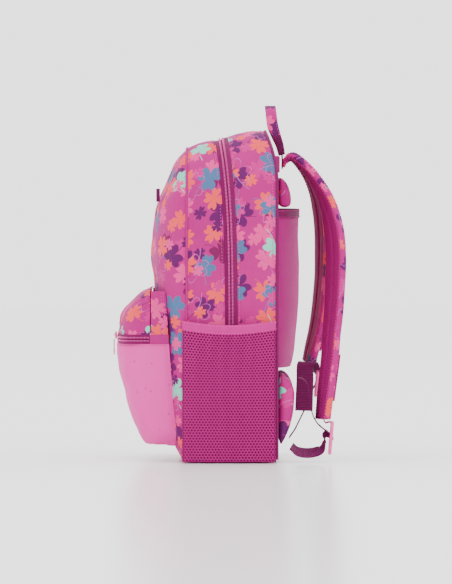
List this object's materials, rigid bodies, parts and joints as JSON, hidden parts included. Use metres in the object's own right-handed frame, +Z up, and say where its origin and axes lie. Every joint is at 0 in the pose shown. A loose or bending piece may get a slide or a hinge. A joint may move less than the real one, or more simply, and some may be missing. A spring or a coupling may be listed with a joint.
{
  "type": "school backpack",
  "caption": "School backpack with a zipped front cover, front pocket, mesh side pockets, luggage sleeve, carry handle and padded shoulder straps.",
  "frame": {"origin": "middle of the base panel's underside, on the surface the bag stands on", "axes": "+Z up; -Y towards the front pocket; +Y towards the shoulder straps; +X to the wearer's right"},
  "size_m": [0.33, 0.3206, 0.4868],
  "materials": {
    "printed_fabric": "woven polyester with a printed clover pattern",
    "plain_fabric": "plain woven polyester",
    "light_fabric": "light pink coated fabric",
    "mesh_fabric": "open hexagonal mesh",
    "air_mesh": "padded spacer mesh under a printed face",
    "webbing": "ribbed polypropylene webbing",
    "lining": "grey lining",
    "board": "stiffener board",
    "coil": "nylon coil",
    "hardware": "light pink moulded plastic"
  },
  "bodies": {
    "pack": {"base_panel": "printed_fabric", "base_board": "board", "rear_gusset": "printed_fabric", "back_panel": "plain_fabric", "back_stiffener": "board", "back_lining": "lining", "lower_front_panel": "printed_fabric", "lower_side_right": "printed_fabric", "lower_side_left": "printed_fabric", "lower_zip_right": "plain_fabric", "lower_zip_left": "plain_fabric", "back_piping": "plain_fabric", "rear_zip_tape": "plain_fabric", "rear_zip_coil": "coil", "pocket_bucket": "light_fabric", "pocket_lower_tape": "plain_fabric", "pocket_side_right": "printed_fabric", "pocket_side_left": "printed_fabric", "zip_end_tab_right": "plain_fabric", "zip_end_tab_left": "plain_fabric", "mesh_pocket_right": "mesh_fabric", "mesh_pocket_left": "mesh_fabric", "mesh_hem_right": "plain_fabric", "mesh_hem_left": "plain_fabric", "upper_back_pad": "printed_fabric", "strap_yoke": "printed_fabric", "trolley_sleeve": "plain_fabric", "sleeve_hem": "plain_fabric", "wing_right": "printed_fabric", "wing_left": "printed_fabric", "lumbar_pad": "air_mesh", "divider_sleeve": "lining"},
    "front_cover": {"front_cover": "printed_fabric", "front_gusset": "printed_fabric", "front_zip_tape": "plain_fabric", "front_zip_coil": "coil", "side_label": "light_fabric"},
    "upper_slider": {"upper_zip_slider": "hardware"},
    "upper_pull": {"upper_zip_pull": "webbing"},
    "lower_slider": {"lower_zip_slider": "hardware"},
    "lower_pull": {"lower_zip_pull": "webbing"},
    "pocket_flap": {"pocket_flap": "printed_fabric", "pocket_upper_tape": "plain_fabric"},
    "pocket_slider": {"pocket_zip_slider": "hardware"},
    "pocket_pull": {"pocket_zip_pull": "webbing"},
    "handle": {"carry_handle": "printed_fabric"},
    "strap_right": {"shoulder_strap_right": "air_mesh", "keeper_loop_right": "plain_fabric", "lock_tongue_right": "webbing", "lower_webbing_right": "webbing", "webbing_tail_right": "webbing"},
    "strap_left": {"shoulder_strap_left": "air_mesh", "keeper_loop_left": "plain_fabric", "lock_tongue_left": "webbing", "lower_webbing_left": "webbing", "webbing_tail_left": "webbing"},
    "lock_right": {"ladder_lock_right": "hardware"},
    "lock_left": {"ladder_lock_left": "hardware"}
  },
  "joints": [
    {"name": "cover_open", "type": "hinge", "parent": "pack", "child": "front_cover", "pos_m": [0, -0.09898, 0.245], "axis": [1, 0, 0], "range_deg": [0, 80]},
    {"name": "upper_slider_travel", "type": "slide", "parent": "pack", "child": "upper_slider", "axis": [0, 0, 1], "range_m": [0, 0.035]},
    {"name": "upper_pull_swing", "type": "hinge", "parent": "upper_slider", "child": "upper_pull", "pos_m": [-0.1521, 0.00462, 0.3295], "axis": [0, 1, 0], "range_deg": [0, 150]},
    {"name": "lower_slider_travel", "type": "slide", "parent": "pack", "child": "lower_slider", "axis": [0, 0, -1], "range_m": [0, 0.045]},
    {"name": "lower_pull_swing", "type": "hinge", "parent": "lower_slider", "child": "lower_pull", "pos_m": [-0.1521, 0.00577, 0.2945], "axis": [0, 1, 0], "range_deg": [0, 150]},
    {"name": "flap_lift", "type": "hinge", "parent": "pack", "child": "pocket_flap", "pos_m": [0, -0.1034, 0.235], "axis": [1, 0, 0], "range_deg": [-60, 0]},
    {"name": "pocket_slider_travel", "type": "slide", "parent": "pocket_flap", "child": "pocket_slider", "axis": [1, 0, 0], "range_m": [0, 0.18]},
    {"name": "pocket_pull_swing", "type": "hinge", "parent": "pocket_slider", "child": "pocket_pull", "pos_m": [-0.092, -0.15598, 0.163], "axis": [1, 0, 0], "range_deg": [-150, 0]},
    {"name": "handle_fold", "type": "hinge", "parent": "pack", "child": "handle", "pos_m": [0, 0.077, 0.419], "axis": [1, 0, 0], "range_deg": [-95, 6]},
    {"name": "strap_right_swing", "type": "hinge", "parent": "pack", "child": "strap_right", "pos_m": [0.06235, 0.0785, 0.40185], "axis": [0.1619, 0.0273, -0.9864], "range_deg": [-12, 15]},
    {"name": "strap_left_swing", "type": "hinge", "parent": "pack", "child": "strap_left", "pos_m": [-0.06235, 0.0785, 0.40185], "axis": [0.1619, -0.0273, 0.9864], "range_deg": [-12, 15]},
    {"name": "lock_right_tip", "type": "hinge", "parent": "strap_right", "child": "lock_right", "pos_m": [0.12035, 0.145, 0.056], "axis": [1, 0, 0], "range_deg": [0, 35]},
    {"name": "lock_left_tip", "type": "hinge", "parent": "strap_left", "child": "lock_left", "pos_m": [-0.116, 0.129, 0.12575], "axis": [1, 0, 0], "range_deg": [0, 35]}
  ]
}
